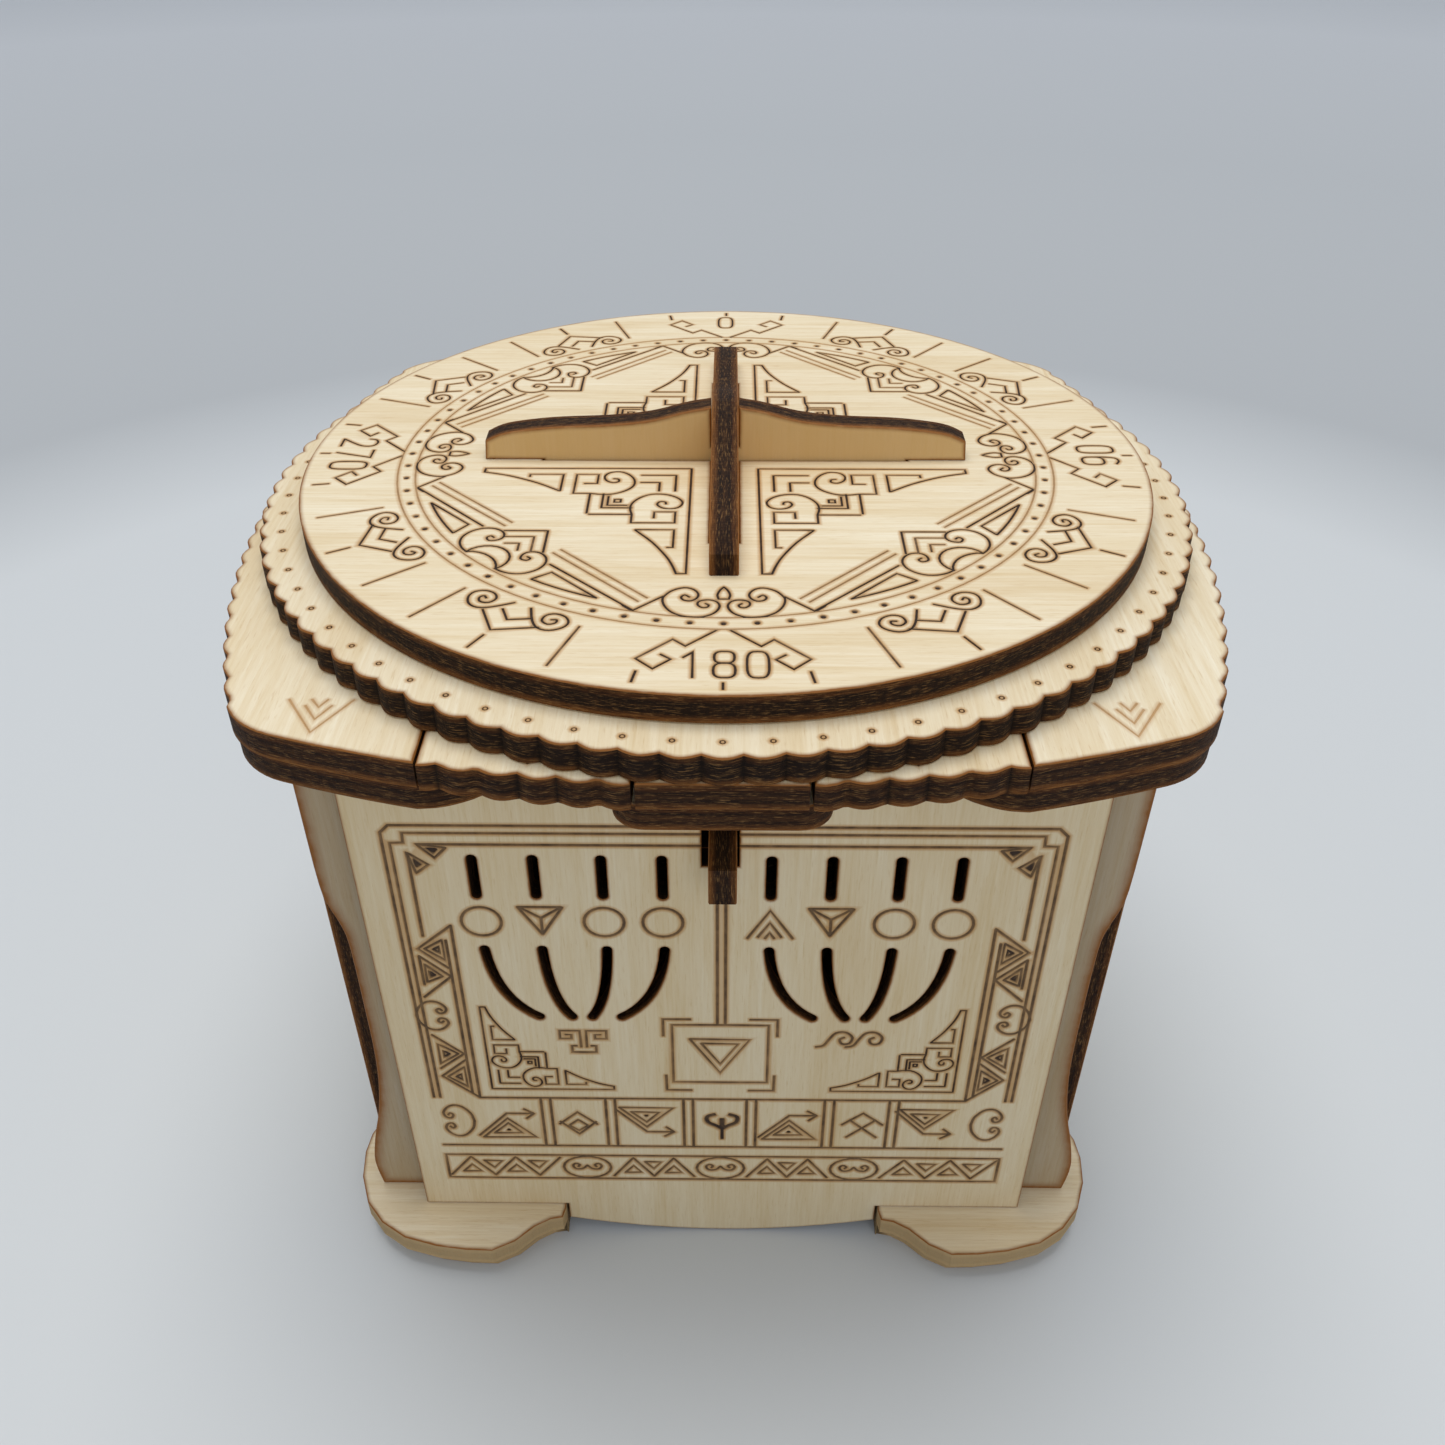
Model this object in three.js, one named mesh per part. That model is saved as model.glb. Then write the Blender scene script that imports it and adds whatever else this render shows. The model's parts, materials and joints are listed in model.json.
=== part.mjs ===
// Wooden puzzle box with a rotary dial, built from laser-cut plywood plates.
// Millimetres, +Z up, front towards -Y, origin on the table under the dial axis.
import * as THREE from 'three';

// ---------------------------------------------------------------- driving dimensions
const PLY = 3;                    // thickness of every plywood plate
const RUN_GAP = 0.2;              // gap between plates that turn or lift against each other
const SLIDE_GAP = 0.3;            // side gap around pieces that slide in their own plane
const FIT = 0.1;                  // gap of tight fits that are pressed or glued together

const PANEL_HALF_X = 40.4;        // decorated front and back panels
const PANEL_FACE_Y = 37;
const SIDE_FACE_X = 46.9;         // outer face of the side panels
const SIDE_HALF_Y = 30.9;
const WALL_TOP = 87.4;

const LID_HALF_X = 55;            // lid outline: four shallow arcs with rounded corners
const LID_HALF_Y = 52.8;
const LID_SIDE_RADIUS = 112;
const LID_FRONT_RADIUS = 128;
const LID_CORNER = 9;
const DECK_INSET = 0.35;          // how far the lower lid layer stays behind the upper one

const RING_RADIUS = 52.8;
const RING_SCALLOPS = 90;
const DIAL_RADIUS = 48.3;
const SCALLOP_PITCH = 3.65;
const SCALLOP_DEPTH = 0.6;

const FIN_HALF = 27.8;            // length of each arm of the cross handle
const FIN_PEAK = 6.6;
const FIN_TAB = 21;               // half length of the tab that sinks into the dial

const HUB_RADIUS = 8;
const HUB_BORE = 8.3;
const COLLAR_RADIUS = 11.5;
const CAM_RADIUS = 27;
const CAM_NOTCH = [4.4, 4.6];     // width and depth of the notch that lets the bolt through

const SLIDER_EDGES = [8.1, 27.4]; // inner and outer edge of the two front sliders
const SLIDER_BACK = -21.5;
const SLIDER_LIFT = 0.05;         // air under the pieces that slide on the lid's lower layer
const SLIDER_TRAVEL = 8;
const CATCH_HALF = 7.7;
const CATCH_TRAVEL = 5;
const TAB_HALF = 10.2;

const NUB = { low: 69.3, high: 74.1, reach: 42.9 };
const BOLT_TRAVEL = 5;
const HINGE_AXIS = { y: 41, z: 83.5 };
const HINGE_X = 27;               // middle of each hinge
const PIN_RADIUS = 1.5;

// ---------------------------------------------------------------- plate levels
const Z_FOOT = PLY;
const Z_FLOOR = 2 * PLY;
const Z_DECK = WALL_TOP + RUN_GAP;
const Z_PLATE = Z_DECK + PLY;
const Z_RING = Z_PLATE + PLY + RUN_GAP;
const Z_DIAL = Z_RING + PLY + RUN_GAP;
const Z_DIAL_TOP = Z_DIAL + PLY;
const Z_CAM = 80.2;

// ---------------------------------------------------------------- materials
const BIRCH = 0xe6d6b4;
const BIRCH_SHADE = 0xcdb88f;
const STEEL = 0xb9bcc0;

const group = new THREE.Group();
group.name = 'puzzle_box';

function add(name, geometry, color = BIRCH) {
  const metal = color === STEEL;
  const material = new THREE.MeshStandardMaterial({
    color,
    roughness: metal ? 0.35 : 0.75,
    metalness: metal ? 1 : 0,
  });
  const mesh = new THREE.Mesh(geometry, material);
  mesh.name = name;
  group.add(mesh);
  return mesh;
}

// ---------------------------------------------------------------- outline helpers
// A closed outline, always returned anticlockwise so that its holes can run either way.
function polygon(points) {
  const corners = points.map(([x, y]) => new THREE.Vector2(x, y));
  return new THREE.Shape(THREE.ShapeUtils.isClockWise(corners) ? corners.reverse() : corners);
}

function polygonHole(points) {
  return new THREE.Path(points.map(([x, y]) => new THREE.Vector2(x, y)));
}

function rectanglePoints(x0, y0, x1, y1) {
  return [[x0, y0], [x1, y0], [x1, y1], [x0, y1]];
}

function circleHole(x, y, radius) {
  const hole = new THREE.Path();
  hole.absarc(x, y, radius, 0, 2 * Math.PI, true);
  return hole;
}

function arcPoints(cx, cy, radius, from, to, count) {
  const points = [];
  for (let i = 0; i <= count; i += 1) {
    const angle = from + ((to - from) * i) / count;
    points.push([cx + radius * Math.cos(angle), cy + radius * Math.sin(angle)]);
  }
  return points;
}

// A hole of constant width with round ends, following a curve.
function slotHole(curve, width, steps) {
  const left = [];
  const right = [];
  for (let i = 0; i <= steps; i += 1) {
    const point = curve.getPoint(i / steps);
    const along = curve.getTangent(i / steps);
    left.push([point.x - (along.y * width) / 2, point.y + (along.x * width) / 2]);
    right.push([point.x + (along.y * width) / 2, point.y - (along.x * width) / 2]);
  }
  const cap = (t, sign) => {
    const point = curve.getPoint(t);
    const along = curve.getTangent(t);
    const start = Math.atan2(sign * along.x, -sign * along.y);
    return arcPoints(point.x, point.y, width / 2, start, start - Math.PI, 6).slice(1, -1);
  };
  return polygonHole([...left, ...cap(1, 1), ...right.reverse(), ...cap(0, -1)]);
}

// Rounded lobes with a narrow notch between them; zero or less, with a notch at distance 0.
function scallop(distance, pitch) {
  return SCALLOP_DEPTH * (Math.abs(Math.sin((Math.PI * distance) / pitch)) - 1);
}

// ---------------------------------------------------------------- plates in three planes
function flatPlate(name, shape, z, color) {
  const geometry = new THREE.ExtrudeGeometry(shape, { depth: PLY, bevelEnabled: false, curveSegments: 24 });
  return add(name, geometry.translate(0, 0, z), color);
}

// The outline's first axis runs along X and its second along Z; the plate reaches back from y.
function wallAcross(name, shape, y, color) {
  const geometry = new THREE.ExtrudeGeometry(shape, { depth: PLY, bevelEnabled: false, curveSegments: 16 });
  return add(name, geometry.rotateX(Math.PI / 2).translate(0, y + PLY, 0), color);
}

// The outline's first axis runs along Y and its second along Z; the plate reaches right from x.
function wallAlong(name, shape, x, color) {
  const geometry = new THREE.ExtrudeGeometry(shape, { depth: PLY, bevelEnabled: false, curveSegments: 16 });
  return add(name, geometry.rotateX(Math.PI / 2).rotateZ(Math.PI / 2).translate(x, 0, 0), color);
}

// A ring or peg between two radii and two heights, standing upright at (x, y).
function turned(name, [inner, outer], [low, high], [x, y], segments) {
  const profile = [[inner, low], [outer, low], [outer, high], [inner, high], [inner, low]];
  const points = profile.map(([r, z]) => new THREE.Vector2(r, z));
  const geometry = new THREE.LatheGeometry(points, segments).rotateX(Math.PI / 2);
  return add(name, geometry.translate(x, y, 0), BIRCH_SHADE);
}

// ---------------------------------------------------------------- lid outline
// One quarter runs from the middle of the right side to the middle of the back.
function lidQuarter(inset, scalloped) {
  const halfX = LID_HALF_X - inset;
  const halfY = LID_HALF_Y - inset;
  const sideCentre = halfX - LID_SIDE_RADIUS;
  const backCentre = halfY - LID_FRONT_RADIUS;
  const a = LID_SIDE_RADIUS - LID_CORNER;
  const b = LID_FRONT_RADIUS - LID_CORNER;
  const span = Math.hypot(sideCentre, backCentre);
  const along = (a * a - b * b + span * span) / (2 * span);
  const across = Math.sqrt(a * a - along * along);
  const ux = -sideCentre / span;
  const uy = backCentre / span;
  const cornerX = sideCentre + along * ux - across * uy;
  const cornerY = along * uy + across * ux;
  const sideEnd = Math.atan2(cornerY, cornerX - sideCentre);
  const backEnd = Math.atan2(cornerY - backCentre, cornerX);
  const side = arcPoints(sideCentre, 0, LID_SIDE_RADIUS, 0, sideEnd, 60);
  const corner = arcPoints(cornerX, cornerY, LID_CORNER, sideEnd, backEnd, 8);
  const back = arcPoints(0, backCentre, LID_FRONT_RADIUS, backEnd, Math.PI / 2, 14);
  const edge = side.map(([x, y]) => [x + (scalloped ? scallop(y, SCALLOP_PITCH) : 0), y]);
  return [...(scalloped ? edge : edge.filter((_, i) => i % 6 === 0)), ...corner.slice(1), ...back.slice(1)];
}

// The whole outline, from the middle of the front round by the right side, without its last repeat.
function lidOutline(inset, scalloped) {
  const quarter = lidQuarter(inset, scalloped);
  const reversed = [...quarter].reverse();
  const right = [...reversed.map(([x, y]) => [x, -y]), ...quarter.slice(1)];
  const left = [...right].reverse().map(([x, y]) => [-x, y]);
  return [...right, ...left.slice(1, -1)];
}

function frontArcY(x) {
  return -LID_HALF_Y + LID_FRONT_RADIUS - Math.sqrt(LID_FRONT_RADIUS ** 2 - x * x);
}

// ---------------------------------------------------------------- feet
// Four corner lobes joined by a square floor; each lobe ends in a small ogee on both sides.
function footOutline(grow) {
  const quarter = [
    [46.9 + grow, 0], [46.9 + grow, 20.5], [47.9 + grow, 21.2], [49.2 + grow, 23], [50.4 + grow, 26],
    [50.7 + grow, 29], [50.2 + grow, 33], [48.6 + grow, 37], [46, 40 + grow], [42.5, 42.2 + grow],
    [38, 43.4 + grow], [34, 43.9 + grow], [30.5, 44 + grow], [27.6, 42.6 + grow], [25.2, 40.4 + grow],
    [23.2, 39.3 + grow], [21.6, 39 + grow], [21.3, 37.6], [21.3, 33.8], [0, 33.8],
  ];
  const half = [...quarter, ...quarter.slice(0, -1).reverse().map(([x, y]) => [-x, y])];
  return [...half, ...half.slice(1, -1).reverse().map(([x, y]) => [x, -y])];
}

function addFeet() {
  flatPlate('foot_lower', polygon(footOutline(-1.6)), 0, BIRCH_SHADE);
  flatPlate('foot_upper', polygon(footOutline(0)), Z_FOOT);
}

// ---------------------------------------------------------------- decorated panels and backing frames
const SLOT_GROUPS = [-16.9, 15.6];
const SLOT_OFFSETS = [-10.3, -3.7, 3.7, 10.3];
const CURVE_ENDS = [-4.9, -1.0, 1.4, 4.9];

function frontSlots(width) {
  const holes = [];
  for (const centre of SLOT_GROUPS) {
    SLOT_OFFSETS.forEach((offset, i) => {
      const x = centre + offset;
      const end = centre + CURVE_ENDS[i];
      const straight = new THREE.LineCurve(new THREE.Vector2(x, 70), new THREE.Vector2(x, 64.6));
      const curved = new THREE.QuadraticBezierCurve(
        new THREE.Vector2(x, 56),
        new THREE.Vector2(x + (end - x) * 0.12, 47.5),
        new THREE.Vector2(end, 44.5),
      );
      holes.push(slotHole(straight, width, 1), slotHole(curved, width, 10));
    });
  }
  return holes;
}

const NUB_SLOT = rectanglePoints(-2.3, NUB.low - RUN_GAP, 1.8, NUB.high + BOLT_TRAVEL + RUN_GAP);

// Panel with a tongue that drops between the foot lobes and ends in a shallow arc.
function panelOutline() {
  const tongue = 21;
  const tongueEnd = 2.6;
  const points = [[-PANEL_HALF_X, WALL_TOP], [-PANEL_HALF_X, Z_FLOOR], [-tongue, Z_FLOOR]];
  for (let i = 0; i <= 12; i += 1) {
    const x = -tongue + (2 * tongue * i) / 12;
    points.push([x, 0.2 + tongueEnd * (x / tongue) ** 2]);
  }
  points.push([tongue, Z_FLOOR], [PANEL_HALF_X, Z_FLOOR], [PANEL_HALF_X, WALL_TOP]);
  return points;
}

// Backing frame whose sides stick out past the panel in a long ogee.
function frameOutline() {
  const side = new THREE.SplineCurve([
    [45.8, WALL_TOP], [45.8, 74], [45.7, 63], [45.2, 59.6], [44.4, 56.8], [43.9, 53], [43.9, 41],
    [44.0, 34], [44.4, 28], [45.3, 22], [46.6, 16.5], [47.4, 12], [47.4, 9], [47.0, Z_FLOOR],
  ].map(([x, z]) => new THREE.Vector2(x, z)));
  const right = side.getPoints(39).map((point) => [point.x, point.y]);
  const left = [...right].reverse().map(([x, z]) => [-x, z]);
  return [...left, ...right];
}

function addWalls() {
  const front = polygon(panelOutline());
  front.holes.push(...frontSlots(1.15), polygonHole(NUB_SLOT));
  wallAcross('front_panel', front, -PANEL_FACE_Y);

  const frontFrame = polygon(frameOutline());
  frontFrame.holes.push(...frontSlots(1.9), polygonHole(NUB_SLOT));
  wallAcross('front_frame', frontFrame, -PANEL_FACE_Y + PLY, BIRCH_SHADE);

  wallAcross('back_panel', polygon(panelOutline()), PANEL_FACE_Y - PLY);
  wallAcross('back_frame', polygon(frameOutline()), PANEL_FACE_Y - 2 * PLY, BIRCH_SHADE);

  const side = polygon(rectanglePoints(-SIDE_HALF_Y, Z_FLOOR, SIDE_HALF_Y, WALL_TOP));
  wallAlong('left_panel', side, -SIDE_FACE_X);
  wallAlong('right_panel', side, SIDE_FACE_X - PLY);
  wallAlong('left_lining', side, -SIDE_FACE_X + PLY, BIRCH_SHADE);
  wallAlong('right_lining', side, SIDE_FACE_X - 2 * PLY, BIRCH_SHADE);
}

// ---------------------------------------------------------------- bolt and its guides behind the front
const BOLT_BACK = -24.2;
const BOLT_FRONT = -30.6;
const BOLT_BOTTOM = 52;
const GUIDE_TOP = 66;
const BOLT_TOP = Z_CAM - SLIDE_GAP;
const BOLT_HOOK = { low: Z_CAM - BOLT_TRAVEL - RUN_GAP, high: Z_CAM + PLY - BOLT_TRAVEL + RUN_GAP, y: -27.5 };

function addBolt() {
  const bolt = polygon([
    [BOLT_FRONT, BOLT_BOTTOM], [BOLT_BACK, BOLT_BOTTOM], [BOLT_BACK, BOLT_HOOK.low],
    [BOLT_HOOK.y, BOLT_HOOK.low], [BOLT_HOOK.y, BOLT_HOOK.high], [BOLT_BACK, BOLT_HOOK.high],
    [BOLT_BACK, BOLT_TOP], [BOLT_FRONT, BOLT_TOP], [BOLT_FRONT, NUB.high],
    [-NUB.reach, NUB.high], [-NUB.reach, NUB.low], [BOLT_FRONT, NUB.low],
  ]);
  wallAlong('bolt', bolt, -PLY / 2);

  const inner = PLY / 2 + SLIDE_GAP;
  const guideFront = -PANEL_FACE_Y + 2 * PLY;
  const guideBack = BOLT_BACK + SLIDE_GAP;
  const guide = polygon(rectanglePoints(guideFront, BOLT_BOTTOM - PLY, guideBack, GUIDE_TOP));
  wallAlong('bolt_guide_left', guide, -inner - PLY, BIRCH_SHADE);
  wallAlong('bolt_guide_right', guide, inner, BIRCH_SHADE);

  const bridge = polygon(rectanglePoints(-inner - PLY, BOLT_BOTTOM - PLY, inner + PLY, GUIDE_TOP));
  wallAcross('bolt_bridge', bridge, guideBack, BIRCH_SHADE);
  const rest = polygon(rectanglePoints(-inner, guideFront, inner, guideBack));
  flatPlate('bolt_rest', rest, BOLT_BOTTOM - PLY, BIRCH_SHADE);
}

// ---------------------------------------------------------------- hinges
const EYE_RADIUS = 3.2;
const EYE_BORE = 1.65;
const EAR_DROP = 10;              // how far a box ear reaches down the back panel below the pin
const CLEVIS_GAP = 0.25;

function eyeHole() {
  return circleHole(HINGE_AXIS.y, HINGE_AXIS.z, EYE_BORE);
}

function bodyEar() {
  const { y, z } = HINGE_AXIS;
  const eye = arcPoints(y, z, EYE_RADIUS, -Math.PI / 3, Math.PI / 2, 12);
  const shape = polygon([
    [PANEL_FACE_Y, z + EYE_RADIUS], [PANEL_FACE_Y, z - EAR_DROP], [PANEL_FACE_Y + PLY / 2, z - EAR_DROP + 1],
    ...eye,
  ]);
  shape.holes.push(eyeHole());
  return shape;
}

function lidEar() {
  const { y, z } = HINGE_AXIS;
  const eye = arcPoints(y, z, EYE_RADIUS, -Math.PI, 0, 16);
  const shape = polygon([[y - EYE_RADIUS, Z_DECK], ...eye, [y + 4.5, z + 2.5], [y + 8, Z_DECK]]);
  shape.holes.push(eyeHole());
  return shape;
}

function addHinges() {
  for (const [side, sign] of [['left', -1], ['right', 1]]) {
    const middle = sign * HINGE_X;
    wallAlong(`lid_ear_${side}`, lidEar(), middle - PLY / 2, BIRCH_SHADE);
    wallAlong(`hinge_ear_${side}_outer`, bodyEar(), middle + sign * (PLY + CLEVIS_GAP) - PLY / 2, BIRCH_SHADE);
    wallAlong(`hinge_ear_${side}_inner`, bodyEar(), middle - sign * (PLY + CLEVIS_GAP) - PLY / 2, BIRCH_SHADE);
    const length = 3 * PLY + 2 * CLEVIS_GAP + 1;
    const pin = new THREE.CylinderGeometry(PIN_RADIUS, PIN_RADIUS, length, 20);
    add(`hinge_pin_${side}`, pin.rotateZ(Math.PI / 2).translate(middle, HINGE_AXIS.y, HINGE_AXIS.z), STEEL);
  }
}

// ---------------------------------------------------------------- lid
function addLid() {
  const lobe = new THREE.SplineCurve([
    [28.2, -49.3], [26.2, -49.1], [24.2, -48.4], [22.4, -47.3], [21, -45.7], [20.2, -43.9], [20, -42],
  ].map(([x, y]) => new THREE.Vector2(x, y)));
  const recess = lobe.getPoints(14).map((point) => [point.x, point.y]);
  const deckRight = lidOutline(DECK_INSET, false).filter(([x, y]) => x > recess[0][0] + 1 || y > 0);
  const start = deckRight.findIndex(([x, y]) => x > 0 && y < 0);
  const ordered = [...deckRight.slice(start), ...deckRight.slice(0, start)];
  const half = ordered.filter(([x]) => x > -1e-6);
  const deckLeft = [...half].reverse().filter(([x]) => x > 1e-6).map(([x, y]) => [-x, y]);
  const notch = [...recess].reverse();
  const deck = polygon([...notch, ...half, ...deckLeft, ...recess.map(([x, y]) => [-x, y])]);
  deck.holes.push(circleHole(0, 0, HUB_BORE));
  flatPlate('lid_deck', deck, Z_DECK);

  const notchX = SLIDER_EDGES[1] + SLIDE_GAP;
  const outer = lidOutline(0, true).filter(([x, y]) => Math.abs(x) > notchX + 0.3 || y > 0);
  const first = outer.findIndex(([x, y]) => x > 0 && y < 0);
  const loop = [...outer.slice(first), ...outer.slice(0, first)];
  const plate = polygon([
    [notchX, SLIDER_BACK + SLIDE_GAP], [notchX, frontArcY(notchX)], ...loop,
    [-notchX, frontArcY(notchX)], [-notchX, SLIDER_BACK + SLIDE_GAP],
  ]);
  plate.holes.push(circleHole(0, 0, HUB_BORE));
  flatPlate('lid_plate', plate, Z_PLATE);
}

// ---------------------------------------------------------------- pieces that pull out of the lid's front
const STOP_Y = -34;
const STOP_RADIUS = 1.4;
const STOP_CLEAR = 0.3;

function addStop(name, x) {
  const top = Z_PLATE + PLY - FIT;
  turned(name, [0, STOP_RADIUS], [Z_PLATE, top], [x, STOP_Y], 16);
}

function travelSlot(x, travel) {
  const from = new THREE.Vector2(x, STOP_Y);
  const to = new THREE.Vector2(x, STOP_Y + travel);
  return slotHole(new THREE.LineCurve(from, to), 2 * (STOP_RADIUS + STOP_CLEAR), 1);
}

function addSliders() {
  const [inner, outer] = SLIDER_EDGES;
  for (const [side, sign] of [['left', -1], ['right', 1]]) {
    const edge = [];
    const steps = 44;
    for (let i = 0; i <= steps; i += 1) {
      const x = inner + ((outer - inner) * i) / steps;
      edge.push([sign * x, frontArcY(x) - SCALLOP_DEPTH / 2 - scallop(x, SCALLOP_PITCH)]);
    }
    const body = [...edge, [sign * outer, SLIDER_BACK], [sign * inner, SLIDER_BACK]];
    const shape = polygon(body);
    const middle = (sign * (inner + outer)) / 2;
    shape.holes.push(travelSlot(middle, SLIDER_TRAVEL));
    flatPlate(`slider_${side}`, shape, Z_PLATE + SLIDER_LIFT);
    addStop(`stop_${side}`, middle);
  }

  const block = polygon(rectanglePoints(-CATCH_HALF, frontArcY(0) + FIT, CATCH_HALF, SLIDER_BACK));
  block.holes.push(travelSlot(0, CATCH_TRAVEL));
  flatPlate('catch_block', block, Z_PLATE + SLIDER_LIFT);
  addStop('stop_catch', 0);

  const tabFront = -52;
  const tabBack = -42.4;
  const round = 3.2;
  const tab = polygon([
    [-TAB_HALF + 1.6, tabBack], [-TAB_HALF, tabBack - 4],
    ...arcPoints(-TAB_HALF + round, tabFront + round, round, -Math.PI, -Math.PI / 2, 8),
    ...arcPoints(TAB_HALF - round, tabFront + round, round, -Math.PI / 2, 0, 8),
    [TAB_HALF, tabBack - 4], [TAB_HALF - 1.6, tabBack],
  ]);
  flatPlate('catch_tab', tab, Z_DECK);
}

// ---------------------------------------------------------------- scalloped ring
function addRing() {
  const points = [];
  const perScallop = 8;
  const count = RING_SCALLOPS * perScallop;
  for (let i = 0; i < count; i += 1) {
    const angle = (2 * Math.PI * i) / count;
    const radius = RING_RADIUS + SCALLOP_DEPTH / 2 + scallop(i, perScallop);
    points.push([radius * Math.cos(angle), radius * Math.sin(angle)]);
  }
  const ring = polygon(points);
  ring.holes.push(circleHole(0, 0, HUB_BORE));
  flatPlate('scalloped_ring', ring, Z_RING);
}

// ---------------------------------------------------------------- dial, cross handle, hub and cam
function finOutline(lapFromTop) {
  const half = new THREE.SplineCurve([
    [0, FIN_PEAK], [4, 6.0], [8.5, 4.85], [13.5, 4.3], [20, 4.0], [25.2, 3.3], [FIN_HALF - 0.2, 2.3],
  ].map(([x, z]) => new THREE.Vector2(x, z))).getPoints(30).map((point) => [point.x, point.y]);
  const lap = PLY / 2 + FIT;
  const lapHeight = (FIN_PEAK - PLY) / 2;
  const top = half.filter(([x]) => x > lap);
  const foot = [[FIN_HALF, 0], [FIN_TAB, 0], [FIN_TAB, -PLY]];
  const right = lapFromTop
    ? [[lap, lapHeight - FIT], [lap, half[2][1]], ...top, ...foot]
    : [...top, ...foot, [lap, -PLY], [lap, lapHeight + FIT]];
  const left = [...right].reverse().map(([x, z]) => [-x, z]);
  const crest = lapFromTop ? [] : [[0, FIN_PEAK]];
  return polygon([...crest, ...right, ...left].map(([x, z]) => [x, z + Z_DIAL_TOP]));
}

function addDial() {
  const disc = polygon(arcPoints(0, 0, DIAL_RADIUS, 0, 2 * Math.PI, 175).slice(1));
  const wide = PLY / 2 + FIT;
  const long = FIN_TAB + FIT;
  const quarter = [[long, -wide], [long, wide], [wide, wide]];
  const cross = [];
  for (let turn = 0; turn < 4; turn += 1) {
    const c = Math.round(Math.cos((turn * Math.PI) / 2));
    const n = Math.round(Math.sin((turn * Math.PI) / 2));
    cross.push(...quarter.map(([x, y]) => [x * c - y * n, x * n + y * c]));
  }
  disc.holes.push(polygonHole(cross));
  flatPlate('dial_disc', disc, Z_DIAL);

  wallAcross('fin_across', finOutline(true), -PLY / 2);
  wallAlong('fin_along', finOutline(false), -PLY / 2);

  const camTop = Z_CAM + PLY;
  turned('hub', [0, HUB_RADIUS], [camTop, Z_DIAL], [0, 0], 48);
  turned('hub_collar', [HUB_RADIUS + FIT, COLLAR_RADIUS], [camTop, Z_DECK - RUN_GAP], [0, 0], 48);

  const [notchWidth, notchDepth] = CAM_NOTCH;
  const half = Math.asin(notchWidth / 2 / CAM_RADIUS);
  const rim = arcPoints(0, 0, CAM_RADIUS, -Math.PI / 2 + half, 1.5 * Math.PI - half, 96);
  const floor = -CAM_RADIUS + notchDepth;
  const cam = polygon([...rim, [-notchWidth / 2, floor], [notchWidth / 2, floor]]);
  flatPlate('cam_disc', cam, Z_CAM, BIRCH_SHADE);
}

addFeet();
addWalls();
addBolt();
addHinges();
addLid();
addSliders();
addRing();
addDial();

export default group;
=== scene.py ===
"""Looks of the wooden dial box: laser-cut birch plates with burnt edges and engraved ornament.

The frame is in metres. Plate drawings and engravings are in millimetres.
"""

import json
import math

import bmesh
import bpy
import numpy as np
from mathutils import Matrix, Vector
from mathutils.geometry import delaunay_2d_cdt

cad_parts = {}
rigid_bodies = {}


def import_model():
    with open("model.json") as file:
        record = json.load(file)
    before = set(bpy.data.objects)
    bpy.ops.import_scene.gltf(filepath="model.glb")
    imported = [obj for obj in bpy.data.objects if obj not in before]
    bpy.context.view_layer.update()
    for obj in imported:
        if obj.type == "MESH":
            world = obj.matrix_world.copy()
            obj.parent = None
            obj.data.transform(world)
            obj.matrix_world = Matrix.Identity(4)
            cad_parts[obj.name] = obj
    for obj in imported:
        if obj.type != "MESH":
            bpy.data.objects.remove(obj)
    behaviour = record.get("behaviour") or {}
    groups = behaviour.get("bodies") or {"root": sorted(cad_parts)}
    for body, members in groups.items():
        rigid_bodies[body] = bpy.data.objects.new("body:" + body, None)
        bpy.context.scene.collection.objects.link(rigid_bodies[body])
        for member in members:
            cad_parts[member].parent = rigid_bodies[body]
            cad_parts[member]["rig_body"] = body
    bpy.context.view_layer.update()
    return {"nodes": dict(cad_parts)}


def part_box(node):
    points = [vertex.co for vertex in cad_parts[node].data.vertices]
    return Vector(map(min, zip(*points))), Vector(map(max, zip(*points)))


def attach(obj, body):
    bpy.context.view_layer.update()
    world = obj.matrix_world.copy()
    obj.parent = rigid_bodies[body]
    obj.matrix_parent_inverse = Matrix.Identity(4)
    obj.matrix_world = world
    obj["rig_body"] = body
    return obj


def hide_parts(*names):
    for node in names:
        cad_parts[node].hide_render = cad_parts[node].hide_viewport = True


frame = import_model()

MM = 0.001

SHEET = 3.0             # thickness of a plate
CHAMFER = 0.12          # broken edge of a plate
MIDDLE_INSET = 0.4      # extra row of points inside the browned border
TOAST_REACH = 0.65      # how far the laser's heat browns the face beside a cut
GROOVE = 0.13           # depth of an engraved line
HALO = 0.36             # browned rim beside an engraved line
HALO_SHARE = 0.62       # part of the burn that the rim of a line has; its floor has the rest
FLOOR_SHARE = 0.38
STROKE_REACH = 1.0      # no groove or rim goes farther than this from the middle of its line
LINE = 0.26             # width of a plain engraved line
CAP = 0.75              # length of a line's end as a part of its half width
NOTCH_REACH = 0.5       # how far the darkening spreads from a notch between two scallops
NOTCH_TURN = -0.5       # an outline that turns inwards by more than this, in radians, has a notch
MITRE = 0.5             # limit on a shifted path's sharp corners
MERGE = 0.008           # points closer than this become one
ON_TOP = 0.02           # points this close to a plate's top level lie on it
SHARP_ANGLE = 22        # degrees between two faces with a sharp edge
EDGE_SLOT = 1           # a plate's second material, after that of its faces


# ---------------------------------------------------------------- drawing strokes
# A stroke is (points, half width, tone); tone 1 is the darkest burn. A dot has one point.
def line(*points, width=LINE, tone=1.0):
    return [(np.array(points, float), width / 2, tone)]


def loop(*points, width=LINE, tone=1.0):
    return line(*points, points[0], width=width, tone=tone)


def dot(x, y, radius=0.33, tone=1.0):
    return [(np.array([[x, y]], float), radius, tone)]


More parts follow.
